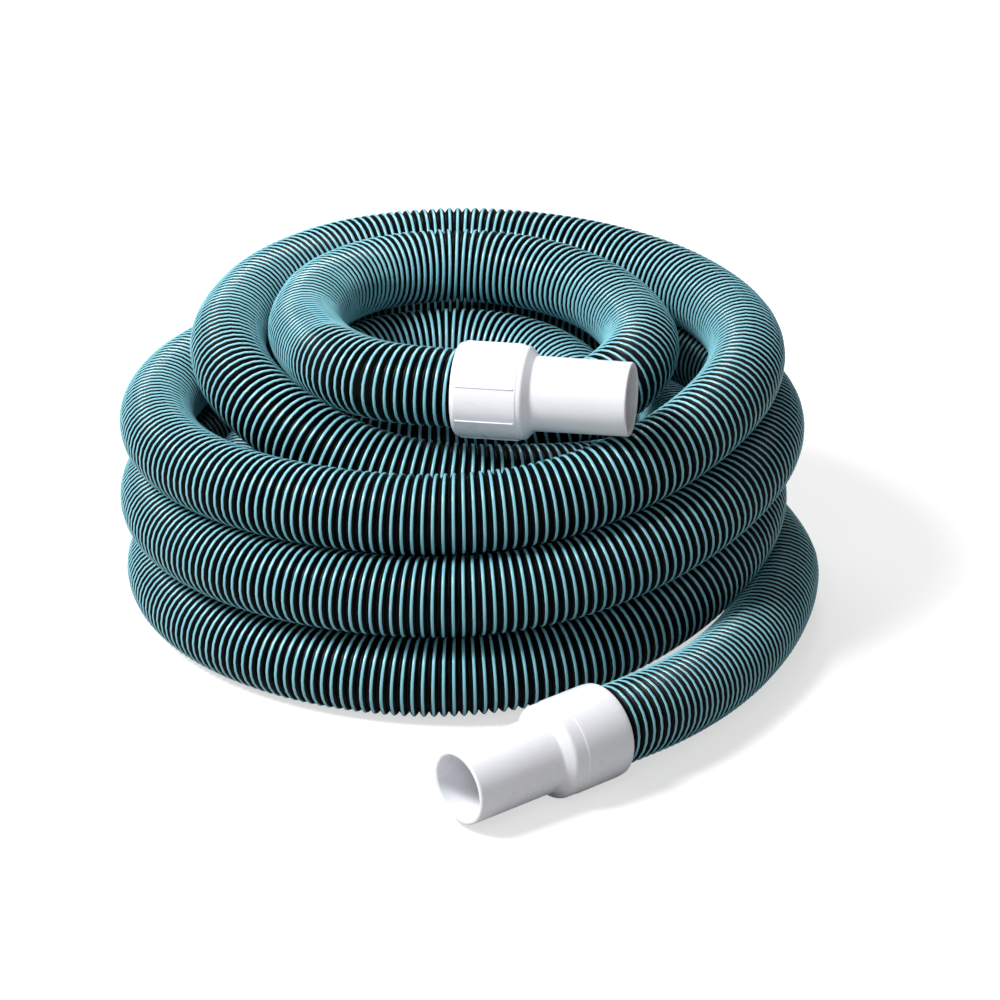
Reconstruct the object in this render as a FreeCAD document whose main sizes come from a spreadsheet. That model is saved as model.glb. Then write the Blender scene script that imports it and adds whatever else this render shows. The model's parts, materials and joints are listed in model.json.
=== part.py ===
"""Coiled spiral-wound pool vacuum hose with a fixed cuff and a swivel cuff.

Millimetres, +Z up. The origin is on the floor, below the middle of the whole object. The hose leaves the
swivel cuff in front, runs to the right and round the back, and winds anticlockwise, seen from above, into
a coil. Its last, smallest turn lies on top and ends in the fixed cuff. Each cuff is drawn upright, with its
hose side at height 0 and its mouth on top, and is then laid in its place.
"""

import FreeCAD, Part
import math
import os

import Sketcher
from FreeCAD import Placement, Rotation, Vector

SIZES = {
    # Hose
    "hose_od": (48.0, "outside diameter over the wear rib"),
    "valley_od": (43.0, "outside diameter of the wall between two turns of the rib"),
    "hose_id": (38.8, "bore of the hose"),
    "rib_pitch": (5.5, "distance from one turn of the rib to the next"),
    "rib_width": (2.4, "width of the rib"),
    # Coil
    "coil_radius": (184.0, "radius of the outer turns, at the middle of the hose"),
    "core_radius": (83.0, "radius of the inner turns, at the middle of the hose"),
    "coil_levels": (3.0, "full layers of hose below the top turns"),
    # Both cuffs
    "barrel_od": (56.6, "outside diameter of a barrel"),
    "barrel_length": (43.5, "length of a barrel"),
    "barrel_chamfer": (1.6, "chamfer round a barrel's hose side"),
    "shoulder_length": (4.2, "taper from barrel to nose"),
    "fixed_nose_length": (57.1, "length of the fixed cuff's nose"),
    "swivel_nose_length": (59.1, "length of the swivel cuff's nose"),
    "nose_root_od": (44.8, "outside diameter of a nose at its shoulder"),
    "nose_tip_od": (44.0, "outside diameter of a nose at its mouth"),
    "nose_bore": (38.1, "bore of a nose, for a 1-1/2 inch fitting"),
    "mouth_chamfer": (0.6, "chamfer of the mouth's two edges"),
    "seat_wall": (2.0, "a barrel's depth left beyond its cavity"),
    # Thread that a cuff screws on the hose with
    "thread_relief": (0.15, "radial gap between hose and thread"),
    "thread_width": (2.2, "width of the thread"),
    "thread_start": (5.0, "first turn of thread, from the hose side"),
    # Grip of the fixed cuff
    "grip_count": (8.0, "grip ridges round the fixed cuff"),
    "grip_width": (1.6, "width of a grip ridge"),
    "grip_height": (0.7, "height of a grip ridge"),
    "grip_length": (38.5, "length of a grip ridge"),
    "grip_turn": (20.0, "angle from the top of the cuff to its first ridge"),
    # Swivel
    "insert_wall": (1.6, "wall of the insert"),
    "insert_stop": (3.0, "wall at the insert's front, where the hose stops"),
    "running_gap": (0.07, "radial gap between insert and shell"),
    "end_play": (0.3, "length that the insert may slide in the shell"),
    "retainer_setback": (1.6, "retainer's distance from the barrel's hose side"),
    "retainer_thickness": (1.7, "thickness of the retainer"),
    "retainer_bite": (0.8, "depth of the retainer's groove"),
    "hose_clearance": (0.5, "radial gap between hose and retainer"),
    "seal_inset": (1.8, "seal's distance from the insert's outside"),
    "seal_width": (2.4, "radial width of the seal"),
    "seal_thickness": (1.8, "thickness of the seal"),
    "seal_seat": (0.5, "depth of the seal's seat in the insert"),
}

# Heights and radii that several pieces share, worked out from the sizes.
SEAT = "(barrel_length - seat_wall)"
HOSE_R = "hose_od / 2"
VALLEY_R = "valley_od / 2"
THREAD_ROOT = "(hose_od / 2 + thread_relief)"
THREAD_CREST = "(valley_od / 2 + thread_relief)"
INSERT_R = "(hose_od / 2 + thread_relief + insert_wall)"
SHELL_R = "(hose_od / 2 + thread_relief + insert_wall + running_gap)"
INSERT_START = "(retainer_setback + retainer_thickness + end_play)"
SEAL_END = "(barrel_length - seat_wall - end_play)"
INSERT_END = "(barrel_length - seat_wall - end_play - seal_thickness + seal_seat)"
INSERT_SEAT = "(barrel_length - seat_wall - end_play - seal_thickness + seal_seat - insert_stop)"

RETAINER_END = "(retainer_setback + retainer_thickness)"
GROOVE_R = "(hose_od / 2 + thread_relief + insert_wall + running_gap + retainer_bite)"
SEAL_OUTER = "(hose_od / 2 + thread_relief + insert_wall - seal_inset)"
SEAL_INNER = "(hose_od / 2 + thread_relief + insert_wall - seal_inset - seal_width)"
SEAL_SEAT = "(barrel_length - seat_wall - end_play - seal_thickness)"

# The hose in front of the coil, from the swivel cuff on, and the end of its top loop, up to the fixed cuff.
# Both are x, y, height from the coil's axis on the floor, for a coil of DRAWN_RADIUS.
DRAWN_RADIUS = 184
TAIL_POINTS = [
    (104, -256, 30.9),
    (127, -230, 28.5),
    (152, -193, 25.5),
    (176, -147, 24),
    (195, -95, 24),
    (206, -42, 24),
]
HEAD_POINTS = [(-77.5, -55, 177.5), (-70, -74.5, 181), (-58, -92, 181.5), (-33, -112.7, 182.5)]
# Where the middle of each cuff's hose side is, and the way its mouth points.
SWIVEL_PLACE = (89, -268, 30.4)
SWIVEL_AXIS = (-0.783, -0.6205, -0.0436)
FIXED_PLACE = (4.2, -120.6, 183)
FIXED_AXIS = (0.978, -0.208, 0.013)

# One row for each turn, at its right, back, left and front: how far the hose lies outside coil_radius and how
# high above the floor's layer, both in hose diameters.
TURNS = [
    ((0.42, 0.00), (-0.05, 0.00), (0.02, 0.00), (0.04, 0.00)),
    ((0.07, 0.97), (0.05, 1.00), (0.08, 1.00), (0.01, 1.07)),
    ((0.28, 1.93), (0.25, 2.00), (0.06, 2.00), (-0.30, 2.04)),
    ((0.00, 2.88), (0.21, 3.00), (-0.90, 2.92), (-1.30, 2.06)),
    ((-0.89, 1.68), (-0.96, 1.01), (-1.00, 0.99), (-0.98, 1.10)),
    ((-0.91, 0.67), (-1.04, 0.00), (-1.00, 0.00), (-1.08, 0.00)),
    ((-1.67, 0.00), (-2.19, 0.00), (-2.13, 0.00), (-2.31, 0.02)),
    ((-2.28, 0.87), (-2.14, 1.03), (-2.19, 0.98), (-2.14, 1.12)),
    ((-2.10, 1.91), (-1.30, 2.05), (-1.80, 1.98), (-2.34, 2.22)),
    ((-1.38, 2.89), (-0.86, 3.04), (-1.93, 3.08)),
]
QUARTERS = 4
POINTS_PER_TURN = 16
NECK_WIDTH = 0.36  # hose diameters that the coil stands out from the hose's middle between two layers
BAND_WIDTH = 0.5  # and over the rest of a layer
BAND_START = 0.22  # hose diameters from a layer's bottom to its full width
ARC_SHARE = 0.45  # of the shorter run beside a corner, which its arc takes up
SHORTEST_BEND = 1.2  # hose diameters

UPPER_TURN = (2, 12, 3, 12)  # first turn and point, last turn and point of the turn below the top loop
TOP_LOOP = (8, 12)  # turn and point where the top loop starts


def make_sheet(doc):
    """The sheet of driving sizes."""
    sheet = doc.addObject("Spreadsheet::Sheet", "sizes")
    for row, (name, (size, note)) in enumerate(SIZES.items(), start=1):
        sheet.set(f"A{row}", name)
        sheet.set(f"B{row}", str(size))
        sheet.set(f"C{row}", note)
        sheet.setAlias(f"B{row}", name)
    doc.recompute()
    return sheet


def bound(text):
    """The expression that a formula in the sheet's names makes."""
    words = []
    for word in text.replace("(", "( ").replace(")", " )").split():
        words.append(f"<<sizes>>.{word}" if word in SIZES else word)
    return " ".join(words)


def origin_plane(body, role):
    """One of a body's own origin planes."""
    return next(plane for plane in body.Origin.OriginFeatures if plane.Role == role)


def add_outline(sketch, outline):
    """Add one closed outline of (distance across, distance up) formulas to a sketch."""
    first = sketch.GeometryCount
    count = len(outline)
    rough = [
        Vector(30 + 20 * math.cos(math.tau * step / count), 30 + 20 * math.sin(math.tau * step / count), 0)
        for step in range(count)
    ]
    for step in range(count):
        sketch.addGeometry(Part.LineSegment(rough[step], rough[(step + 1) % count]), False)
    for step in range(count):
        following = first + (step + 1) % count
        sketch.addConstraint(Sketcher.Constraint("Coincident", first + step, 2, following, 1))
    for step, formulas in enumerate(outline):
        for kind, formula, there in zip(("DistanceX", "DistanceY"), formulas, (rough[step].x, rough[step].y)):
            if formula == "0":
                sketch.addConstraint(Sketcher.Constraint("PointOnObject", first + step, 1, -1))
                continue
            constraint = Sketcher.Constraint(kind, -1, 1, first + step, 1, there)
            sketch.setExpression(f"Constraints[{sketch.addConstraint(constraint)}]", bound(formula))


def revolved(doc, label, outlines):
    """A body turned from outlines of (radius, height) formulas."""
    body = doc.addObject("PartDesign::Body", label)
    body.AllowCompound = len(outlines) > 1
    sketch = body.newObject("Sketcher::SketchObject", f"{label}_outline")
    sketch.AttachmentSupport = [(origin_plane(body, "XZ_Plane"), "")]
    sketch.MapMode = "FlatFace"
    for outline in outlines:
        add_outline(sketch, outline)
    turn = body.newObject("PartDesign::Revolution", f"{label}_turned")
    turn.Profile = sketch
    turn.ReferenceAxis = (sketch, ["V_Axis"])
    turn.Angle = 360
    doc.recompute()
    return body


def cuff_outside(nose_length):
    """The outside of a cuff, from its hose side to its mouth, and the bore of its nose."""
    total = f"(barrel_length + shoulder_length + {nose_length})"
    return [
        ("barrel_od / 2 - barrel_chamfer", "0"),
        ("barrel_od / 2", "barrel_chamfer"),
        ("barrel_od / 2", "barrel_length"),
        ("nose_root_od / 2", "barrel_length + shoulder_length"),
        ("nose_tip_od / 2", f"{total} - mouth_chamfer"),
        ("nose_tip_od / 2 - mouth_chamfer", total),
        ("nose_bore / 2 + mouth_chamfer", total),
        ("nose_bore / 2", f"{total} - mouth_chamfer"),
        ("nose_bore / 2", SEAT),
    ]


def thread_count(sheet, seat):
    """How many turns of thread fit between thread_start and the hose's stop at height seat."""
    return int((seat - sheet.thread_start - sheet.thread_width) / sheet.rib_pitch) + 1


def thread_side(turns):
    """A threaded bore from its last turn of thread down to its first."""
    side = []
    for turn in reversed(range(turns)):
        low = f"thread_start + rib_pitch * {turn}"
        side += [
            (THREAD_ROOT, f"{low} + thread_width"),
            (THREAD_CREST, f"{low} + thread_width"),
            (THREAD_CREST, low),
            (THREAD_ROOT, low),
        ]
    return side


def fixed_cuff(doc, sheet):
    """The one-piece cuff: a ridged barrel that screws on the hose, a shoulder and a nose."""
    turns = thread_count(sheet, sheet.barrel_length - sheet.seat_wall)
    inside = [(THREAD_ROOT, SEAT)] + thread_side(turns) + [(THREAD_ROOT, "0")]
    body = revolved(doc, "fixed_cuff", [cuff_outside("fixed_nose_length") + inside])
    sketch = body.newObject("Sketcher::SketchObject", "grip_outline")
    sketch.AttachmentSupport = [(origin_plane(body, "XY_Plane"), "")]
    sketch.MapMode = "FlatFace"
    sketch.setExpression("AttachmentOffset.Base.z", bound("barrel_chamfer"))
    rough = [Vector(27, -1, 0), Vector(29, -1, 0), Vector(29, 1, 0), Vector(27, 1, 0)]
    for step in range(len(rough)):
        sketch.addGeometry(Part.LineSegment(rough[step], rough[(step + 1) % len(rough)]), False)
    for step, kind in ((0, "Horizontal"), (2, "Horizontal"), (3, "Vertical")):
        sketch.addConstraint(Sketcher.Constraint(kind, step))
    for step in range(len(rough)):
        following = (step + 1) % len(rough)
        sketch.addConstraint(Sketcher.Constraint("Coincident", step, 2, following, 1))
    sketch.addConstraint(Sketcher.Constraint("Symmetric", 1, 1, 1, 2, -1))
    for kind, ends, formula in (
        ("DistanceX", (-1, 1, 0, 1), "barrel_od / 2 - grip_height"),
        ("DistanceX", (-1, 1, 0, 2), "barrel_od / 2 + grip_height"),
        ("DistanceY", (1, 1, 1, 2), "grip_width"),
    ):
        there = sketch.addConstraint(Sketcher.Constraint(kind, *ends, 2.0))
        sketch.setExpression(f"Constraints[{there}]", bound(formula))
    ridge = body.newObject("PartDesign::Pad", "grip_ridge")
    ridge.Profile = sketch
    ridge.setExpression("Length", bound("grip_length"))
    doc.recompute()
    pattern = body.newObject("PartDesign::PolarPattern", "grip_ridges")
    pattern.Originals = [ridge]
    pattern.Axis = (sketch, ["N_Axis"])
    pattern.Angle = 360
    pattern.setExpression("Occurrences", bound("grip_count"))
    body.Tip = pattern
    return body


def swivel_shell(doc):
    """The outer cuff that turns on the insert, with a groove for the retainer."""
    inside = [
        (SHELL_R, SEAT),
        (SHELL_R, RETAINER_END),
        (GROOVE_R, RETAINER_END),
        (GROOVE_R, "retainer_setback"),
        (SHELL_R, "retainer_setback"),
        (SHELL_R, "0"),
    ]
    return revolved(doc, "swivel_shell", [cuff_outside("swivel_nose_length") + inside])


def insert_seat(sheet):
    """The height at which the hose stops in the insert, as INSERT_SEAT has it."""
    front = sheet.barrel_length - sheet.seat_wall - sheet.end_play - sheet.seal_thickness + sheet.seal_seat
    return front - sheet.insert_stop


def swivel_insert(doc, sheet):
    """The threaded sleeve on the hose's end, with a front wall that stops the hose and seats the seal."""
    turns = thread_count(sheet, insert_seat(sheet))
    outline = [
        (INSERT_R, INSERT_START),
        (INSERT_R, INSERT_END),
        (SEAL_OUTER, INSERT_END),
        (SEAL_OUTER, SEAL_SEAT),
        (SEAL_INNER, SEAL_SEAT),
        (SEAL_INNER, INSERT_END),
        ("nose_bore / 2", INSERT_END),
        ("nose_bore / 2", INSERT_SEAT),
        (THREAD_ROOT, INSERT_SEAT),
    ]
    return revolved(doc, "swivel_insert", [outline + thread_side(turns) + [(THREAD_ROOT, INSERT_START)]])


def ring(doc, label, inner, outer, low, high):
    """A plain ring."""
    return revolved(doc, label, [[(outer, low), (outer, high), (inner, high), (inner, low)]])


def rib_end(doc, sheet, label, seat):
    """The turns of the wear rib inside a cuff, each in the middle of the gap between two turns of thread."""
    outlines = []
    for turn in range(thread_count(sheet, seat)):
        middle = f"thread_start + thread_width / 2 + rib_pitch * {turn} - rib_pitch / 2"
        low = f"{middle} - rib_width / 2"
        high = f"{middle} + rib_width / 2"
        outlines.append([(HOSE_R, low), (HOSE_R, high), (VALLEY_R, high), (VALLEY_R, low)])
    return revolved(doc, label, outlines)


def hose_coil(doc, sheet):
    """The full layers of the coil as one solid ring, with a band for each layer outside and inside."""
    layers = int(sheet.coil_levels)
    steps = []
    for level in range(layers):
        steps.append((NECK_WIDTH, f"hose_od * {level}" if level else "0"))
        steps.append((BAND_WIDTH, f"hose_od * {level + BAND_START}"))
        steps.append((BAND_WIDTH, f"hose_od * {level + 1 - BAND_START}"))
    steps.append((NECK_WIDTH, f"hose_od * {layers}"))
    outer = [(f"coil_radius + hose_od * {width}", height) for width, height in steps]
    inner = [(f"core_radius - hose_od * {width}", height) for width, height in reversed(steps)]
    return revolved(doc, "hose_coil", [outer + inner])


def beside_coil(sheet, point):
    """A place that was set for a coil of DRAWN_RADIUS, moved out or in with the coil."""
    outwards = Vector(point[0], point[1], 0).normalize()
    return Vector(*point) + outwards * (sheet.coil_radius - DRAWN_RADIUS)


def turn_points(sheet):
    """The hose's corner points round the coil, POINTS_PER_TURN to a turn, eased between the quarters."""
    quarters = [quarter for turn in TURNS for quarter in turn]
    per_quarter = POINTS_PER_TURN // QUARTERS
    corner = 1 + 0.375 * (math.pi / POINTS_PER_TURN) ** 2
    points = []
    for number in range((len(quarters) - 1) * per_quarter + 1):
        before = min(number // per_quarter, len(quarters) - 2)
        ease = (1 - math.cos(math.pi * (number - before * per_quarter) / per_quarter)) / 2
        out, level = (a + (b - a) * ease for a, b in zip(quarters[before], quarters[before + 1]))
        radius = (sheet.coil_radius + sheet.hose_od * out) * corner
        angle = math.tau * number / POINTS_PER_TURN
        height = sheet.hose_od * (0.5 + level)
        points.append(Vector(radius * math.cos(angle), radius * math.sin(angle), height))
    return points


def tube(doc, sheet, label, points):
    """A round solid along straight runs joined by tangent arcs."""
    edges = []
    radii = []
    start = points[0]
    for before, corner, after in zip(points, points[1:], points[2:]):
        back = (before - corner).normalize()
        ahead = (after - corner).normalize()
        half_turn = (math.pi - back.getAngle(ahead)) / 2
        reach = ARC_SHARE * min((before - corner).Length, (after - corner).Length)
        radius = reach / math.tan(half_turn)
        middle = corner + (back + ahead).normalize() * (radius / math.cos(half_turn) - radius)
        edges.append(Part.LineSegment(start, corner + back * reach).toShape())
        edges.append(Part.Arc(corner + back * reach, middle, corner + ahead * reach).toShape())
        start = corner + ahead * reach
        radii.append(radius)
    edges.append(Part.LineSegment(start, points[-1]).toShape())
    path = Part.Wire(edges)
    section = Part.Wire(Part.makeCircle(sheet.hose_od / 2, points[0], points[1] - points[0]))
    solid = path.makePipeShell([section], True, False)
    share = solid.Volume / (math.pi * sheet.hose_od**2 / 4 * path.Length)
    print(f"{label}: length {path.Length:.0f}, volume {share:.4f} of section x length")
    print(f"{label}: radii {' '.join(f'{radius:.0f}' for radius in radii)}")
    if abs(share - 1) > 0.01:
        raise RuntimeError(f"{label}: its volume doesn't fit its length")
    if min(radii) < SHORTEST_BEND * sheet.hose_od:
        raise RuntimeError(f"{label}: a bend is too tight")
    feature = doc.addObject("Part::Feature", label)
    feature.Shape = solid
    return feature


def laid(body, place, axis, turn=0.0):
    """Lay an upright cuff piece with its hose side at place, its mouth along axis and its X axis on top."""
    forward = Vector(*axis).normalize()
    upright = Rotation(Vector(0, 0, 1), Vector(), forward, "ZXY")
    body.Placement = Placement(place, upright * Rotation(Vector(0, 0, 1), turn))


def make_hose(doc, sheet):
    """The hose: its coil, and the lengths that leave it."""
    turns = turn_points(sheet)
    tail = [beside_coil(sheet, point) for point in [SWIVEL_PLACE] + TAIL_POINTS]
    joined = QUARTERS + 1
    first_turn, first_point, last_turn, last_point = UPPER_TURN
    upper = turns[first_turn * POINTS_PER_TURN + first_point:last_turn * POINTS_PER_TURN + last_point + 1]
    loop = turns[TOP_LOOP[0] * POINTS_PER_TURN + TOP_LOOP[1]:]
    head = [beside_coil(sheet, point) for point in HEAD_POINTS + [FIXED_PLACE]]
    return [
        hose_coil(doc, sheet),
        tube(doc, sheet, "hose_tail", tail + turns[:joined]),
        tube(doc, sheet, "hose_upper_turn", upper),
        tube(doc, sheet, "hose_top_loop", loop + head),
    ]


def make_fixed_end(doc, sheet):
    """The fixed cuff, and the hose inside it."""
    seat = sheet.barrel_length - sheet.seat_wall
    pieces = [
        fixed_cuff(doc, sheet),
        ring(doc, "hose_end_fixed", "hose_id / 2", VALLEY_R, "0", SEAT),
        rib_end(doc, sheet, "rib_end_fixed", seat),
    ]
    for piece in pieces:
        laid(piece, beside_coil(sheet, FIXED_PLACE), FIXED_AXIS, sheet.grip_turn)
    return pieces


def make_swivel_end(doc, sheet):
    """The swivel cuff, and the hose inside it."""
    hole = f"{HOSE_R} + hose_clearance"
    pieces = [
        swivel_shell(doc),
        swivel_insert(doc, sheet),
        ring(doc, "swivel_retainer", hole, GROOVE_R, "retainer_setback", RETAINER_END),
        ring(doc, "swivel_seal", SEAL_INNER, SEAL_OUTER, SEAL_SEAT, SEAL_END),
        ring(doc, "hose_end_swivel", "hose_id / 2", VALLEY_R, "0", INSERT_SEAT),
        rib_end(doc, sheet, "rib_end_swivel", insert_seat(sheet)),
    ]
    for piece in pieces:
        laid(piece, beside_coil(sheet, SWIVEL_PLACE), SWIVEL_AXIS)
    return pieces


def centre(pieces, sheet):
    """Move the whole object so that the origin is on the floor below its middle."""
    box = FreeCAD.BoundBox()
    for piece in pieces:
        box.add(piece.Shape.optimalBoundingBox(False, False))
    move = Vector(-box.Center.x, -box.Center.y, 0)
    for piece in pieces:
        piece.Placement = Placement(piece.Placement.Base + move, piece.Placement.Rotation)
    print(f"size {box.XLength:.2f} x {box.YLength:.2f} x {box.ZLength:.2f}, lowest {box.ZMin:.3f}")
    for name, place, axis in (
        ("fixed", FIXED_PLACE, FIXED_AXIS),
        ("swivel", SWIVEL_PLACE, SWIVEL_AXIS),
    ):
        there = " ".join(f"{size:.3f}" for size in beside_coil(sheet, place) + move)
        way = " ".join(f"{size:.6f}" for size in Vector(*axis).normalize())
        print(f"{name}: hose side {there}, axis {way}")


def check(doc, pieces):
    """Stop if any object failed or any piece isn't sound."""
    for item in doc.Objects:
        if "Invalid" in item.State or "Error" in item.State:
            raise RuntimeError(f"{item.Label}: {item.State}")
    for piece in pieces:
        if piece.Shape.isNull() or not piece.Shape.isValid() or piece.Shape.Volume <= 0:
            raise RuntimeError(f"{piece.Label}: no sound solid")
        print(f"{piece.Label}: {len(piece.Shape.Solids)} solids, {piece.Shape.Volume / 1000:.2f} ml")


def main():
    """Build the document, check it and write each piece."""
    doc = FreeCAD.newDocument("vacuum_hose")
    sheet = make_sheet(doc)
    pieces = make_hose(doc, sheet) + make_fixed_end(doc, sheet) + make_swivel_end(doc, sheet)
    doc.recompute()
    check(doc, pieces)
    centre(pieces, sheet)
    doc.recompute()
    check(doc, pieces)
    os.makedirs("parts", exist_ok=True)
    for piece in pieces:
        piece.Shape.exportStep(f"parts/{piece.Label}.step")


main()
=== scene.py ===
"""The looks of a coiled pool vacuum hose: a ribbed hose with a fixed cuff and a swivel cuff.

Everything is in metres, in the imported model's frame: +Z up, the origin on the floor below the
object's middle.
"""

import json
import logging
import math
from dataclasses import dataclass, field
from enum import Enum

import bmesh
import bpy
import numpy as np
from mathutils import Matrix, Vector


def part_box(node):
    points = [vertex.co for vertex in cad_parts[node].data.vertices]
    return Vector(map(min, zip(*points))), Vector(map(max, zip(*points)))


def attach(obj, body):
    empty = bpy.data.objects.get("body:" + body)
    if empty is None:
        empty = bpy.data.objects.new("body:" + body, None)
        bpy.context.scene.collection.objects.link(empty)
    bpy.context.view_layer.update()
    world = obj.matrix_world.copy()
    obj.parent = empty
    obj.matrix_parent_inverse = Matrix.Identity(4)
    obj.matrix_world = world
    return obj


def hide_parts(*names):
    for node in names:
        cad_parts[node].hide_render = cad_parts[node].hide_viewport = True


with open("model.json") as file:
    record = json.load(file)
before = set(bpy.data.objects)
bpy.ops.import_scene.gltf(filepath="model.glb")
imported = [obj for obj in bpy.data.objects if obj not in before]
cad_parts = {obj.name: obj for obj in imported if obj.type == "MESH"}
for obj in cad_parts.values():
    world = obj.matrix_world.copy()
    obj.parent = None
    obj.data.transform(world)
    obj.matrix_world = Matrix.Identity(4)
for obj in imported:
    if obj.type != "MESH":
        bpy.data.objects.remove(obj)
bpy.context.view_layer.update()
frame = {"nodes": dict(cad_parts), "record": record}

MM = 0.001
LOG = logging.getLogger("vacuum_hose")


class Body(Enum):
    """The CAD bodies that pieces ride on."""

    HOSE = "hose"
    SWIVEL = "swivel_cuff"


class Slot(Enum):
    """The record's material slots that the pieces built here use."""

    HOSE = "hose"
    RIB = "rib"
    CUFF = "cuff"


# -------------------------------------------------------------------------------------------------
# Finishes
# -------------------------------------------------------------------------------------------------


@dataclass(frozen=True)
class Finish:
    """A moulded finish with a little unevenness in its colour, gloss and surface.

    The grain is measured on Object coordinates, so it keeps its scale on every piece.
    """

    name: str
    colour: tuple[float, float, float]
    shade: tuple[float, float, float]
    roughness: tuple[float, float]
    grain_size: float
    grain_depth: float
    patch_size: float
    specular: float = 0.5
    subsurface: float = 0.0
    subsurface_scale: float = 2 * MM
    noise_range: tuple[float, float] = (0.3, 0.7)

    def material(self) -> bpy.types.Material:
        """Make the material, or return it if it is there already.

        Returns:
            The material, with its nodes.
        """
        known = bpy.data.materials.get(self.name)
        if known is not None:
            return known
        material = bpy.data.materials.new(self.name)
        material.use_nodes = True
        tree = material.node_tree
        shader = tree.nodes["Principled BSDF"]
        shader.inputs["Specular IOR Level"].default_value = self.specular
        shader.inputs["Emission Color"].default_value = (1.0, 1.0, 1.0, 1.0)
        if self.subsurface:
            shader.inputs["Subsurface Weight"].default_value = self.subsurface
            shader.inputs["Subsurface Scale"].default_value = self.subsurface_scale
        place = tree.nodes.new("ShaderNodeTexCoord")
        patches = self.noise(tree, place, self.patch_size, 3.0)
        grain = self.noise(tree, place, self.grain_size, 2.0)
        self.mixed_colour(tree, patches, shader)
        self.mixed_roughness(tree, patches, shader)
        bump = tree.nodes.new("ShaderNodeBump")
        bump.inputs["Strength"].default_value = 1.0
        bump.inputs["Distance"].default_value = self.grain_depth
        tree.links.new(grain.outputs["Fac"], bump.inputs["Height"])
        tree.links.new(bump.outputs["Normal"], shader.inputs["Normal"])
        return material

    @staticmethod
    def noise(
        tree: bpy.types.NodeTree, place: bpy.types.Node, size: float, detail: float
    ) -> bpy.types.Node:
        """Add a noise on Object coordinates.

        Args:
            tree: The material's nodes.
            place: The Texture Coordinate node.
            size: The size of the noise's features, in metres.
            detail: The noise's octaves.

        Returns:
            The noise node.
        """
        noise = tree.nodes.new("ShaderNodeTexNoise")
        noise.inputs["Scale"].default_value = 1.0 / size
        noise.inputs["Detail"].default_value = detail
        tree.links.new(place.outputs["Object"], noise.inputs["Vector"])
        return noise

    def mixed_colour(
        self, tree: bpy.types.NodeTree, patches: bpy.types.Node, shader: bpy.types.Node
    ) -> None:
        """Lead a colour between the finish's shade and colour to the shader.

        Args:
            tree: The material's nodes.
            patches: The noise that mixes the two.
            shader: The material's shader.
        """
        ramp = tree.nodes.new("ShaderNodeValToRGB")
        ends = zip(ramp.color_ramp.elements, self.noise_range, (self.shade, self.colour))
        for element, position, colour in ends:
            element.position = position
            element.color = (*colour, 1.0)
        tree.links.new(patches.outputs["Fac"], ramp.inputs["Fac"])
        tree.links.new(ramp.outputs["Color"], shader.inputs["Base Color"])

    def mixed_roughness(
        self, tree: bpy.types.NodeTree, patches: bpy.types.Node, shader: bpy.types.Node
    ) -> None:
        """Lead a roughness between the finish's two ends to the shader.

        Args:
            tree: The material's nodes.
            patches: The noise that mixes the two.
            shader: The material's shader.
        """
        spread = tree.nodes.new("ShaderNodeMapRange")
        spread.inputs["From Min"].default_value = self.noise_range[0]
        spread.inputs["From Max"].default_value = self.noise_range[1]
        spread.inputs["To Min"].default_value = self.roughness[0]
        spread.inputs["To Max"].default_value = self.roughness[1]
        tree.links.new(patches.outputs["Fac"], spread.inputs["Value"])
        tree.links.new(spread.outputs["Result"], shader.inputs["Roughness"])


BLACK_WALL = Finish(
    "black_eva_wall",
    colour=(0.0030, 0.0034, 0.0042),
    shade=(0.0014, 0.0017, 0.0022),
    roughness=(0.38, 0.50),
    grain_size=1.2 * MM,
    grain_depth=0.05 * MM,
    patch_size=30 * MM,
    specular=0.10,
)
TEAL_RIB = Finish(
    "teal_wear_rib",
    colour=(0.225, 0.525, 0.605),
    shade=(0.185, 0.470, 0.555),
    roughness=(0.20, 0.30),
    grain_size=0.8 * MM,
    grain_depth=0.03 * MM,
    patch_size=25 * MM,
)
WHITE_CUFF = Finish(
    "white_cuff_plastic",
    colour=(0.80, 0.81, 0.85),
    shade=(0.78, 0.79, 0.83),
    roughness=(0.26, 0.36),
    grain_size=2.0 * MM,
    grain_depth=0.01 * MM,
    patch_size=18 * MM,
    subsurface=0.08,
)
WHITE_INSERT = Finish(
    "white_insert_plastic",
    colour=(0.80, 0.80, 0.82),
    shade=(0.76, 0.76, 0.79),
    roughness=(0.35, 0.45),
    grain_size=1.5 * MM,
    grain_depth=0.02 * MM,
    patch_size=12 * MM,
)
NATURAL_RETAINER = Finish(
    "natural_retainer_plastic",
    colour=(0.70, 0.70, 0.70),
    shade=(0.64, 0.64, 0.65),
    roughness=(0.40, 0.50),
    grain_size=1.5 * MM,
    grain_depth=0.02 * MM,
    patch_size=10 * MM,
)
SEAL_RUBBER = Finish(
    "seal_rubber",
    colour=(0.020, 0.020, 0.021),
    shade=(0.012, 0.012, 0.013),
    roughness=(0.50, 0.65),
    grain_size=0.6 * MM,
    grain_depth=0.05 * MM,
    patch_size=8 * MM,
)


# -------------------------------------------------------------------------------------------------
# Places that the frame gives
# -------------------------------------------------------------------------------------------------


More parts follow.
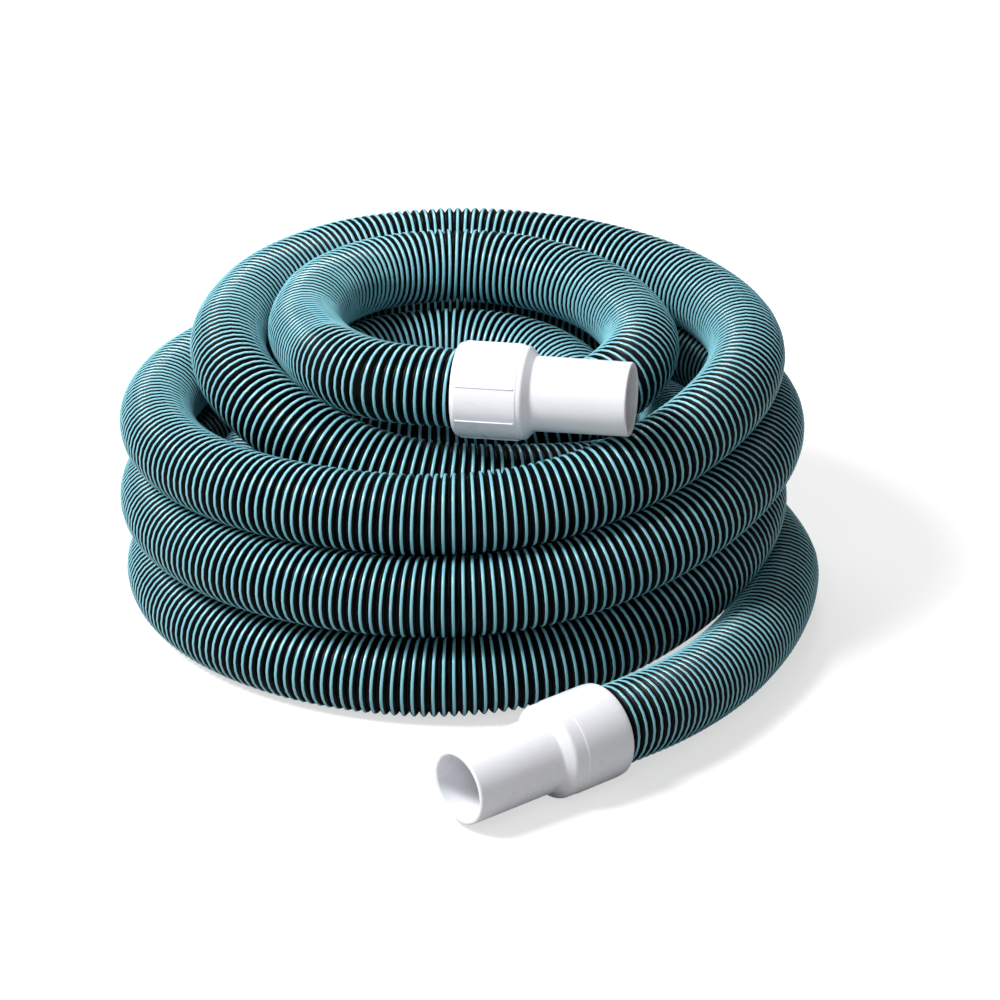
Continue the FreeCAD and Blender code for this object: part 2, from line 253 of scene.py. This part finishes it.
@dataclass(frozen=True)
class Seat:
    """Where the middle of a cuff's hose side is, and the way its mouth points."""

    place: Vector
    axis: Vector

    @classmethod
    def from_mount(cls, name: str, along: float) -> "Seat":
        """Read a seat from a bore mount.

        Args:
            name: The mount's name.
            along: The mount's distance from the cuff's hose side, in metres.

        Returns:
            The seat.
        """
        mount = next(mount for mount in frame["record"]["mounts"] if mount["name"] == name)
        axis = Vector(mount["axis"]).normalized()
        return cls(Vector(mount["pos_m"]) - axis * along, axis)

    def matrix(self, turn: float = 0.0) -> Matrix:
        """The transform that lays an upright cuff here.

        Args:
            turn: How far the cuff is turned about its own axis, in degrees.

        Returns:
            The transform from the cuff's own frame, with its hose side at height 0.
        """
        up = Vector((0, 0, 1))
        top = (up - self.axis * up.dot(self.axis)).normalized()
        side = self.axis.cross(top)
        lay = Matrix((top, side, self.axis)).transposed().to_4x4()
        return Matrix.Translation(self.place) @ lay @ Matrix.Rotation(math.radians(turn), 4, "Z")


MOUNT_ALONG = 73 * MM
FIXED_SEAT = Seat.from_mount("fixed_nose_bore", MOUNT_ALONG)
SWIVEL_SEAT = Seat.from_mount("swivel_nose_bore", MOUNT_ALONG)


# -------------------------------------------------------------------------------------------------
# The hose
# -------------------------------------------------------------------------------------------------


@dataclass
class Route:
    """The hose's route, from the swivel cuff round the coil to the fixed cuff.

    The tail and the head are x, y and height from the coil's axis. Each turn has four stations,
    at its right, back, left and front: how far the hose lies outside the coil's radius and how
    high above the floor's layer, both in hose diameters. The last turn has no station in front.
    """

    hose: float = 48 * MM
    radius: float = 184 * MM
    points_per_turn: int = 16
    corner_cut: float = 0.375
    resolution: int = 24
    tail: tuple = (
        (0.104, -0.256, 0.0309),
        (0.127, -0.23, 0.0285),
        (0.152, -0.193, 0.0255),
        (0.176, -0.147, 0.024),
        (0.195, -0.095, 0.024),
        (0.206, -0.042, 0.024),
    )
    turns: tuple = (
        ((0.42, 0.00), (-0.05, 0.00), (0.02, 0.00), (0.04, 0.00)),
        ((0.07, 0.97), (0.05, 1.00), (0.08, 1.00), (0.01, 1.07)),
        ((0.28, 1.93), (0.25, 2.00), (0.06, 2.00), (-0.30, 2.04)),
        ((0.00, 2.88), (0.21, 3.00), (-0.90, 2.92), (-1.30, 2.06)),
        ((-0.89, 1.68), (-0.96, 1.01), (-1.00, 0.99), (-0.98, 1.10)),
        ((-0.91, 0.67), (-1.04, 0.00), (-1.00, 0.00), (-1.08, 0.00)),
        ((-1.67, 0.00), (-2.19, 0.00), (-2.13, 0.00), (-2.31, 0.02)),
        ((-2.28, 0.87), (-2.14, 1.03), (-2.19, 0.98), (-2.14, 1.12)),
        ((-2.10, 1.91), (-1.30, 2.05), (-1.80, 1.98), (-2.34, 2.22)),
        ((-1.38, 2.89), (-0.86, 3.04), (-1.93, 3.08)),
    )
    head: tuple = (
        (-0.0775, -0.055, 0.1775),
        (-0.07, -0.0745, 0.181),
        (-0.058, -0.092, 0.1815),
        (-0.033, -0.1127, 0.1825),
    )

    def coil_axis(self) -> Vector:
        """The foot of the coil's axis."""
        low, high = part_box("hose_coil")
        return Vector(((low.x + high.x) / 2, (low.y + high.y) / 2, 0.0))

    def turn_points(self) -> list[Vector]:
        """The corner points round the coil, eased between the four stations of each turn.

        The spline cuts its corners, so they stand a little further out than the hose does.

        Returns:
            The points, relative to the foot of the coil's axis.
        """
        quarters = [quarter for turn in self.turns for quarter in turn]
        per_quarter = self.points_per_turn // 4
        corner = 1 + self.corner_cut * (math.pi / self.points_per_turn) ** 2
        points = []
        for number in range((len(quarters) - 1) * per_quarter + 1):
            before = min(number // per_quarter, len(quarters) - 2)
            ease = (1 - math.cos(math.pi * (number / per_quarter - before))) / 2
            out, level = (
                a + (b - a) * ease for a, b in zip(quarters[before], quarters[before + 1])
            )
            radius = (self.radius + self.hose * out) * corner
            angle = math.tau * number / self.points_per_turn
            height = self.hose * (0.5 + level)
            points.append(Vector((radius * math.cos(angle), radius * math.sin(angle), height)))
        return points

    def corners(self) -> list[Vector]:
        """The route's control points, from the swivel cuff's hose side to the fixed cuff's."""
        foot = self.coil_axis()
        between = [Vector(point) for point in self.tail]
        between += self.turn_points() + [Vector(point) for point in self.head]
        return [SWIVEL_SEAT.place] + [foot + point for point in between] + [FIXED_SEAT.place]

    def line(self) -> list[Vector]:
        """The points of the smooth spline that the corners control.

        Returns:
            The points, close together, along the hose.
        """
        curve = bpy.data.curves.new("hose_route", "CURVE")
        curve.dimensions = "3D"
        curve.resolution_u = self.resolution
        spline = curve.splines.new("NURBS")
        corners = self.corners()
        spline.points.add(len(corners) - 1)
        for point, corner in zip(spline.points, corners):
            point.co = (*corner, 1.0)
        spline.order_u = 3
        spline.use_endpoint_u = True
        holder = bpy.data.objects.new("hose_route", curve)
        mesh = bpy.data.meshes.new_from_object(holder)
        points = [vertex.co.copy() for vertex in mesh.vertices]
        bpy.data.meshes.remove(mesh)
        bpy.data.objects.remove(holder)
        bpy.data.curves.remove(curve)
        return points


class Centreline:
    """A smooth line with a frame that never twists, measured along its length."""

    def __init__(self, points: list[Vector]) -> None:
        """Measure the line.

        Args:
            points: Its points, close together.
        """
        self.points = np.array([tuple(point) for point in points])
        gaps = np.linalg.norm(np.diff(self.points, axis=0), axis=1)
        self.along = np.concatenate(([0.0], np.cumsum(gaps)))
        self.length = float(self.along[-1])
        tangents = np.gradient(self.points, self.along, axis=0)
        self.tangents = tangents / np.linalg.norm(tangents, axis=1)[:, None]
        self.sides = self.carried_sides()

    def carried_sides(self) -> np.ndarray:
        """Carry one sideways direction along the line without twist."""
        side = np.cross(self.tangents[0], (0.0, 0.0, 1.0))
        sides = []
        for tangent in self.tangents:
            side = side - tangent * side.dot(tangent)
            side = side / np.linalg.norm(side)
            sides.append(side)
        return np.array(sides)

    def around(
        self, along: np.ndarray, radius: np.ndarray, angle: np.ndarray, ahead: float = 0.0
    ) -> np.ndarray:
        """Points beside the line.

        Args:
            along: Each point's distance along the line. The line goes straight on past its ends.
            radius: Each point's distance from the line.
            angle: Each point's angle about the line.
            ahead: How far every point is moved straight ahead from there.

        Returns:
            One row of x, y, z for each point.
        """
        inside = np.clip(along, 0.0, self.length)
        centre, tangent, side = (
            np.stack([np.interp(inside, self.along, rows[:, k]) for k in range(3)], 1)
            for rows in (self.points, self.tangents, self.sides)
        )
        tangent /= np.linalg.norm(tangent, axis=1)[:, None]
        side /= np.linalg.norm(side, axis=1)[:, None]
        up = np.cross(side, tangent)
        centre += tangent * (along - inside + ahead)[:, None]
        return centre + radius[:, None] * (
            side * np.cos(angle)[:, None] + up * np.sin(angle)[:, None]
        )


def new_piece(
    name: str,
    mesh: bpy.types.Mesh,
    finish: Finish,
    body: Body,
    sharp: float,
) -> bpy.types.Object:
    """Put a finished mesh in the scene.

    Args:
        name: The piece's name.
        mesh: Its mesh, in place in the frame.
        finish: Its finish.
        body: The CAD body that it rides on.
        sharp: The angle past which an edge stays sharp, in degrees.

    Returns:
        The piece.
    """
    mesh.shade_smooth()
    mesh.set_sharp_from_angle(angle=math.radians(sharp))
    mesh.materials.append(finish.material())
    piece = bpy.data.objects.new(name, mesh)
    bpy.context.scene.collection.objects.link(piece)
    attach(piece, body.value)
    LOG.info("%s: %d faces", name, len(mesh.polygons))
    return piece


@dataclass(frozen=True)
class WoundCorner:
    """A corner of a wound profile: its radius, and its offset from the rib's middle.

    The offset is a share of the pitch, which follows the hose's bends, or a distance straight
    ahead.
    """

    radius: float
    share: float = 0.0
    ahead: float = 0.0


@dataclass
class SpiralHose:
    """The hose: a wall, its corrugation, and the wear rib along a helix."""

    route: Route = field(default_factory=Route)
    pitch: float = 5.5 * MM
    bore_radius: float = 19.4 * MM
    wall_radius: float = 21 * MM
    valley_radius: float = 21.2 * MM
    crest_radius: float = 23.55 * MM
    rib_radius: float = 24 * MM
    rib_width: float = 1.95 * MM
    ring_gap: float = 5 * MM
    ring_segments: int = 24
    open_end: float = 120 * MM
    lead_in: float = 2 * MM
    rib_pieces: int = 5
    band_pieces: int = 5
    steps_per_turn: int = 24
    band_sink: float = 0.3 * MM
    rib_sink: float = 0.5 * MM
    rib_edge_drop: float = 0.2 * MM
    sharp: float = 60.0

    def build(self) -> None:
        self.line = Centreline(self.route.line())
        wall = self.wall()
        parts = self.bands() + self.ribs()
        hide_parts("hose_coil", "hose_tail", "hose_upper_turn", "hose_top_loop")
        LOG.info("hose: %.3f m along its middle", self.line.length)

    def wall(self) -> bpy.types.Object:
        """The closed wall, with its bore open for some way at both ends."""
        count = round(self.line.length / self.ring_gap)
        outside = np.linspace(0.0, self.line.length, count + 1)
        bore = np.linspace(self.open_end, 0.0, round(self.open_end / self.ring_gap) + 1)
        along = np.concatenate((bore, outside, self.line.length - bore[::-1]))
        radii = np.full(len(along), self.bore_radius)
        radii[len(bore):len(bore) + len(outside)] = self.wall_radius
        around = np.arange(self.ring_segments) * math.tau / self.ring_segments
        places = self.line.around(
            np.repeat(along, self.ring_segments),
            np.repeat(radii, self.ring_segments),
            np.tile(around, len(along)),
        )
        faces = []
        for ring in range(len(along) - 1):
            for step in range(self.ring_segments):
                following = (step + 1) % self.ring_segments
                low = ring * self.ring_segments
                high = low + self.ring_segments
                faces.append((low + step, high + step, high + following, low + following))
        last = (len(along) - 1) * self.ring_segments
        faces.append(tuple(range(self.ring_segments)))
        faces.append(tuple(last + step for step in reversed(range(self.ring_segments))))
        mesh = bpy.data.meshes.new("hose_wall")
        mesh.from_pydata(places.tolist(), [], faces)
        return new_piece("hose_wall", mesh, BLACK_WALL, Body.HOSE, self.sharp)

    def winding(
        self, name: str, profile: list[WoundCorner], start: float, end: float
    ) -> bpy.types.Mesh:
        """Wind a profile round the hose along the rib's helix.

        Args:
            name: The mesh's name.
            profile: Its corners.
            start: Where the winding starts along the hose.
            end: Where it ends.

        Returns:
            The closed mesh.
        """
        steps = round((end - start) / self.pitch * self.steps_per_turn)
        middle = np.linspace(start, end, steps + 1)
        angle = math.tau * middle / self.pitch
        rows = [
            self.line.around(
                middle + self.pitch * corner.share,
                np.full(len(middle), corner.radius),
                angle,
                corner.ahead,
            )
            for corner in profile
        ]
        places = np.stack(rows, 1).reshape(-1, 3)
        width = len(profile)
        faces = []
        for step in range(steps):
            low = step * width
            high = low + width
            for side in range(width):
                following = (side + 1) % width
                faces.append((low + side, low + following, high + following, high + side))
        faces.append(tuple(reversed(range(width))))
        faces.append(tuple(steps * width + side for side in range(width)))
        mesh = bpy.data.meshes.new(name)
        mesh.from_pydata(places.tolist(), [], faces)
        return mesh

    def windings(
        self, name: str, profile: list[WoundCorner], pieces: int, finish: Finish
    ) -> list[bpy.types.Object]:
        """Wind a profile along the whole hose in a few pieces of the same length.

        Args:
            name: The start of the pieces' names.
            profile: The profile's corners.
            pieces: How many pieces to make.
            finish: Their finish.

        Returns:
            The pieces.
        """
        start = -self.lead_in
        share = (self.line.length + 2 * self.lead_in) / pieces
        made = []
        for number in range(pieces):
            label = f"{name}_{number + 1}"
            low = start + share * number
            mesh = self.winding(label, profile, low, low + share)
            made.append(new_piece(label, mesh, finish, Body.HOSE, self.sharp))
        return made

    def bands(self) -> list[bpy.types.Object]:
        """The wall's rounded corrugation, which rises to a crest under each turn of the rib."""
        depth = self.crest_radius - self.valley_radius
        foot = self.wall_radius - self.band_sink
        rise = [
            WoundCorner(foot, share=0.14),
            WoundCorner(self.crest_radius, share=0.14),
            WoundCorner(self.crest_radius - depth * 0.2, share=0.25),
            WoundCorner(self.crest_radius - depth * 0.6, share=0.37),
            WoundCorner(self.valley_radius, share=0.45),
        ]
        fall = [WoundCorner(corner.radius, share=1 - corner.share) for corner in reversed(rise)]
        return self.windings("wall_band", rise + fall, self.band_pieces, BLACK_WALL)

    def ribs(self) -> list[bpy.types.Object]:
        """The wear rib, a narrow bead on the crest that keeps its width in every bend."""
        half = self.rib_width / 2
        foot = self.crest_radius - self.rib_sink
        edge = self.rib_radius - self.rib_edge_drop
        profile = [
            WoundCorner(foot, ahead=-half),
            WoundCorner(edge, ahead=-half * 0.86),
            WoundCorner(self.rib_radius, ahead=-half * 0.36),
            WoundCorner(self.rib_radius, ahead=half * 0.36),
            WoundCorner(edge, ahead=half * 0.86),
            WoundCorner(foot, ahead=half),
        ]
        return self.windings("wear_rib", profile, self.rib_pieces, TEAL_RIB)


# -------------------------------------------------------------------------------------------------
# The cuffs
# -------------------------------------------------------------------------------------------------


@dataclass(frozen=True)
class Corner:
    """A corner of a turned outline: its radius, its height in the cuff and its rounding."""

    radius: float
    height: float
    rounding: float = 0.0


@dataclass
class Cuff:
    """A cuff: a barrel over the hose's end, a shoulder, and a nose with a bore for a fitting."""

    name: str
    seat: Seat
    body: Body
    node: str
    turn: float = 0.0
    barrel_radius: float = 28.3 * MM
    barrel_length: float = 43.5 * MM
    shoulder_length: float = 4.2 * MM
    nose_length: float = 57.1 * MM
    nose_root_radius: float = 22.4 * MM
    nose_tip_radius: float = 22 * MM
    bore_radius: float = 19.05 * MM
    cavity_radius: float = 24.15 * MM
    cavity_length: float = 41.5 * MM
    steps: int = 144
    lip_share: float = 0.42
    rounding_segments: int = 5
    weld: float = 0.001 * MM
    sharp: float = 40.0

    def total(self) -> float:
        """The cuff's whole length."""
        return self.barrel_length + self.shoulder_length + self.nose_length

    def outside(self) -> list[Corner]:
        """The barrel's outside, from the hose side to the shoulder."""
        raise NotImplementedError

    def inside(self) -> list[Corner]:
        """The barrel's inside, from its seat back to the hose side."""
        raise NotImplementedError

    def nose(self) -> list[Corner]:
        """The nose, from its root over the mouth and down its bore."""
        total = self.total()
        wall = self.nose_tip_radius - self.bore_radius
        return [
            Corner(self.nose_root_radius, self.barrel_length + self.shoulder_length, 1.0 * MM),
            Corner(self.nose_tip_radius, total, wall * self.lip_share),
            Corner(self.bore_radius, total, wall * self.lip_share),
            Corner(self.bore_radius, self.cavity_length, 0.4 * MM),
        ]

    def turned(self) -> bmesh.types.BMesh:
        """Turn the outline about the cuff's axis.

        Returns:
            The closed shell, upright in the cuff's own frame.
        """
        shell = bmesh.new()
        corners = self.outside() + self.nose() + self.inside()
        verts = [shell.verts.new((corner.radius, 0.0, corner.height)) for corner in corners]
        shell.faces.new(verts)
        for vert, corner in zip(verts, corners):
            if corner.rounding:
                bmesh.ops.bevel(
                    shell,
                    geom=[vert],
                    offset=corner.rounding,
                    segments=self.rounding_segments,
                    profile=0.5,
                    affect="VERTICES",
                    material=-1,
                )
        bmesh.ops.delete(shell, geom=shell.faces[:], context="FACES_ONLY")
        bmesh.ops.spin(
            shell,
            geom=shell.verts[:] + shell.edges[:],
            cent=(0, 0, 0),
            axis=(0, 0, 1),
            angle=math.tau,
            steps=self.steps,
            use_merge=True,
        )
        bmesh.ops.remove_doubles(shell, verts=shell.verts[:], dist=self.weld)
        bmesh.ops.recalc_face_normals(shell, faces=shell.faces[:])
        return shell

    def dress(self, shell: bmesh.types.BMesh) -> None:
        """Add what this cuff has on its barrel, which is nothing unless it says otherwise.

        Args:
            shell: The turned shell, upright in the cuff's own frame.
        """

    def build(self) -> bpy.types.Object:
        """Build the cuff in its place, for the CAD node that it stands for."""
        shell = self.turned()
        self.dress(shell)
        shell.transform(self.seat.matrix(self.turn))
        mesh = bpy.data.meshes.new(self.name)
        shell.to_mesh(mesh)
        shell.free()
        piece = new_piece(self.name, mesh, WHITE_CUFF, self.body, self.sharp)
        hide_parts(self.node)
        return piece


@dataclass
class FixedCuff(Cuff):
    """The cuff that is screwed fast on the hose, with grip ridges along its barrel."""

    ridges: int = 8
    ridge_height: float = 0.6 * MM
    ridge_start: float = 3.5 * MM
    ridge_end: float = 39 * MM
    ridge_spread: float = 0.7
    ridge_slack: float = 1 * MM
    ridge_rounding: float = 0.22 * MM
    barrel_share: float = 0.99
    panel_height: float = 0.4 * MM
    thread_crest: float = 21.65 * MM
    thread_start: float = 5.0 * MM
    thread_width: float = 2.2 * MM
    thread_pitch: float = 5.5 * MM
    thread_turns: int = 7

    def outside(self) -> list[Corner]:
        """The ridged barrel, which ends in a panel edge before the shoulder."""
        low = self.barrel_radius - self.panel_height
        return [
            Corner(self.cavity_radius + 0.5 * MM, 0.0, 0.3 * MM),
            Corner(self.barrel_radius - 1.1 * MM, 0.4 * MM, 0.8 * MM),
            Corner(self.barrel_radius, 2.6 * MM, 0.8 * MM),
            Corner(self.barrel_radius, self.ridge_start),
            Corner(self.barrel_radius, self.ridge_end),
            Corner(self.barrel_radius, self.ridge_end + 0.6 * MM, 0.25 * MM),
            Corner(low, self.ridge_end + 1.4 * MM, 0.4 * MM),
            Corner(low, self.barrel_length - 0.6 * MM, 1.2 * MM),
        ]

    def inside(self) -> list[Corner]:
        """The threaded cavity."""
        corners = [Corner(self.cavity_radius, self.cavity_length)]
        for turn in reversed(range(self.thread_turns)):
            low = self.thread_start + self.thread_pitch * turn
            high = low + self.thread_width
            corners += [
                Corner(self.cavity_radius, high),
                Corner(self.thread_crest, high),
                Corner(self.thread_crest, low),
                Corner(self.cavity_radius, low),
            ]
        return corners + [Corner(self.cavity_radius, 0.3 * MM)]

    def ridge_faces(
        self, shell: bmesh.types.BMesh, out: Vector, spread: float
    ) -> list[bmesh.types.BMFace]:
        """The column of the barrel's faces that one ridge rises from.

        Args:
            shell: The turned shell.
            out: The way the ridge points from the cuff's axis.
            spread: The angle to either side that the column reaches, in radians.

        Returns:
            The faces.
        """
        column = []
        for face in shell.faces:
            middle = face.calc_center_median()
            flat = Vector((middle.x, middle.y, 0.0))
            on_barrel = flat.length > self.barrel_radius * self.barrel_share
            ahead = out.dot(flat) > self.barrel_radius * math.cos(spread)
            if self.ridge_start < middle.z < self.ridge_end and on_barrel and ahead:
                column.append(face)
        return column

    def dress(self, shell: bmesh.types.BMesh) -> None:
        """Raise the grip ridges from columns of the barrel's faces.

        Args:
            shell: The turned shell, upright in the cuff's own frame.
        """
        step = math.tau / self.steps
        for number in range(self.ridges):
            angle = math.tau * number / self.ridges + step / 2
            out = Vector((math.cos(angle), math.sin(angle), 0.0))
            column = self.ridge_faces(shell, out, step * self.ridge_spread)
            raised = bmesh.ops.extrude_face_region(shell, geom=column)["geom"]
            bmesh.ops.delete(shell, geom=column, context="FACES")
            verts = [item for item in raised if isinstance(item, bmesh.types.BMVert)]
            faces = [item for item in raised if isinstance(item, bmesh.types.BMFace)]
            bmesh.ops.translate(shell, vec=out * self.ridge_height, verts=verts)
            bmesh.ops.translate(
                shell,
                vec=(0, 0, -self.ridge_height),
                verts=[vert for vert in verts if vert.co.z > self.ridge_end - self.ridge_slack],
            )
            edges = list({edge for face in faces for edge in face.edges})
            bmesh.ops.bevel(
                shell,
                geom=edges,
                offset=self.ridge_rounding,
                segments=2,
                profile=0.5,
                affect="EDGES",
                material=-1,
            )


@dataclass
class SwivelCuff(Cuff):
    """The cuff that turns on its insert, with a plain collar between barrel and shoulder."""

    nose_length: float = 59.1 * MM
    cavity_radius: float = 25.82 * MM
    collar_start: float = 33.5 * MM
    collar_drop: float = 0.35 * MM
    groove_low: float = 1.6 * MM
    groove_high: float = 3.3 * MM
    groove_depth: float = 0.8 * MM

    def outside(self) -> list[Corner]:
        """The smooth barrel, its collar and the round into the shoulder."""
        low = self.barrel_radius - self.collar_drop
        return [
            Corner(self.cavity_radius + 0.4 * MM, 0.0, 0.3 * MM),
            Corner(self.barrel_radius - 0.5 * MM, 0.9 * MM, 0.9 * MM),
            Corner(self.barrel_radius, 4.5 * MM, 1.8 * MM),
            Corner(self.barrel_radius, self.collar_start, 0.3 * MM),
            Corner(low, self.collar_start + 0.7 * MM, 0.4 * MM),
            Corner(low, self.barrel_length - 0.6 * MM, 1.6 * MM),
        ]

    def inside(self) -> list[Corner]:
        """The smooth cavity with the retainer's groove."""
        groove = self.cavity_radius + self.groove_depth
        return [
            Corner(self.cavity_radius, self.cavity_length),
            Corner(self.cavity_radius, self.groove_high),
            Corner(groove, self.groove_high),
            Corner(groove, self.groove_low),
            Corner(self.cavity_radius, self.groove_low),
            Corner(self.cavity_radius, 0.3 * MM),
        ]


@dataclass
class InnerPieces:
    """The CAD pieces inside the cuffs, which keep their shape and get their finish here."""

    finishes: dict[str, Finish] = field(
        default_factory=lambda: {
            "hose_end_fixed": BLACK_WALL,
            "hose_end_swivel": BLACK_WALL,
            "rib_end_fixed": TEAL_RIB,
            "rib_end_swivel": TEAL_RIB,
            "swivel_insert": WHITE_INSERT,
            "swivel_retainer": NATURAL_RETAINER,
            "swivel_seal": SEAL_RUBBER,
        }
    )

    def dress(self) -> None:
        """Give each piece its finish."""
        for node, finish in self.finishes.items():
            piece = frame["nodes"][node]
            for held in piece.material_slots:
                held.material = finish.material()
            LOG.info("%s: %s", node, finish.name)


# -------------------------------------------------------------------------------------------------
# The studio
# -------------------------------------------------------------------------------------------------


@dataclass(frozen=True)
class Softbox:
    """A rectangular lamp, aimed at the object."""

    name: str
    place: tuple[float, float, float]
    size: tuple[float, float]
    power: float


AIM_FROM_COIL = Vector((0.029, -0.057, 0.085))


@dataclass
class Studio:
    """A pale floor, soft lamps and the camera, which looks at the aim."""

    aim: Vector
    elevation: float = 22.5
    distance: float = 2.40
    lens: float = 139.7
    sensor: float = 36.0
    sight: float = 50.0
    floor_size: float = 14.0
    floor_colour: tuple[float, float, float] = (0.45, 0.45, 0.45)
    floor_glow: float = 0.62
    world_strength: float = 0.20
    lamps: tuple[Softbox, ...] = (
        Softbox("key_lamp", (-1.3, -0.6, 1.9), (0.7, 0.7), 74.0),
        Softbox("front_lamp", (-0.2, -2.2, 1.5), (1.0, 0.5), 8.0),
        Softbox("back_lamp", (-0.2, 1.3, 1.7), (1.4, 0.6), 20.0),
    )

    def build(self) -> None:
        """Build the floor, the lamps, the surrounding light and the camera."""
        self.floor()
        for lamp in self.lamps:
            self.lamp(lamp)
        self.world()
        self.camera()
        bpy.context.scene.view_settings.view_transform = "Standard"

    def floor(self) -> None:
        """The floor, just below the object."""
        ground = bmesh.new()
        bmesh.ops.create_grid(ground, x_segments=1, y_segments=1, size=self.floor_size / 2)
        mesh = bpy.data.meshes.new("floor")
        ground.to_mesh(mesh)
        ground.free()
        paint = Finish(
            "floor_paint",
            colour=self.floor_colour,
            shade=self.floor_colour,
            roughness=(0.8, 0.8),
            grain_size=4 * MM,
            grain_depth=0.0,
            patch_size=1.0,
            specular=0.1,
        )
        mesh.materials.append(self.lit_for_camera(paint.material()))
        piece = bpy.data.objects.new("floor", mesh)
        bpy.context.scene.collection.objects.link(piece)

    def lit_for_camera(self, material: bpy.types.Material) -> bpy.types.Material:
        """Make the floor pale to the camera alone, so that it throws no extra light on the object.

        Args:
            material: The floor's material.

        Returns:
            The same material.
        """
        tree = material.node_tree
        rays = tree.nodes.new("ShaderNodeLightPath")
        share = tree.nodes.new("ShaderNodeMath")
        share.operation = "MULTIPLY"
        share.inputs[1].default_value = self.floor_glow
        tree.links.new(rays.outputs["Is Camera Ray"], share.inputs[0])
        shader = tree.nodes["Principled BSDF"]
        tree.links.new(share.outputs["Value"], shader.inputs["Emission Strength"])
        return material

    def lamp(self, lamp: Softbox) -> None:
        """One lamp, turned to the object.

        Args:
            lamp: The lamp to build.
        """
        light = bpy.data.lights.new(lamp.name, "AREA")
        light.shape = "RECTANGLE"
        light.size, light.size_y = lamp.size
        light.energy = lamp.power
        holder = bpy.data.objects.new(lamp.name, light)
        holder.location = lamp.place
        holder.rotation_euler = (self.aim - Vector(lamp.place)).to_track_quat("-Z", "Y").to_euler()
        bpy.context.scene.collection.objects.link(holder)

    def world(self) -> None:
        """An even white surround."""
        world = bpy.data.worlds.new("studio")
        world.use_nodes = True
        background = world.node_tree.nodes["Background"]
        background.inputs["Color"].default_value = (1.0, 1.0, 1.0, 1.0)
        background.inputs["Strength"].default_value = self.world_strength
        bpy.context.scene.world = world

    def camera(self) -> None:
        """The camera, in front of the object and above it."""
        lens = bpy.data.cameras.new("camera")
        lens.lens = self.lens
        lens.sensor_width = self.sensor
        lens.clip_end = self.sight
        holder = bpy.data.objects.new("camera", lens)
        tilt = math.radians(self.elevation)
        back = Vector((0.0, -math.cos(tilt), math.sin(tilt)))
        holder.location = self.aim + back * self.distance
        holder.rotation_euler = (-back).to_track_quat("-Z", "Y").to_euler()
        bpy.context.scene.collection.objects.link(holder)
        bpy.context.scene.camera = holder


def main() -> None:
    """Build the hose, its cuffs and the studio."""
    logging.basicConfig(level=logging.INFO, format="%(name)s: %(message)s")
    route = Route()
    SpiralHose(route).build()
    FixedCuff("cuff_fixed", FIXED_SEAT, Body.HOSE, "fixed_cuff", turn=20.0).build()
    SwivelCuff("cuff_swivel", SWIVEL_SEAT, Body.SWIVEL, "swivel_shell").build()
    InnerPieces().dress()
    Studio(aim=route.coil_axis() + AIM_FROM_COIL).build()


if __name__ == "__main__":
    main()
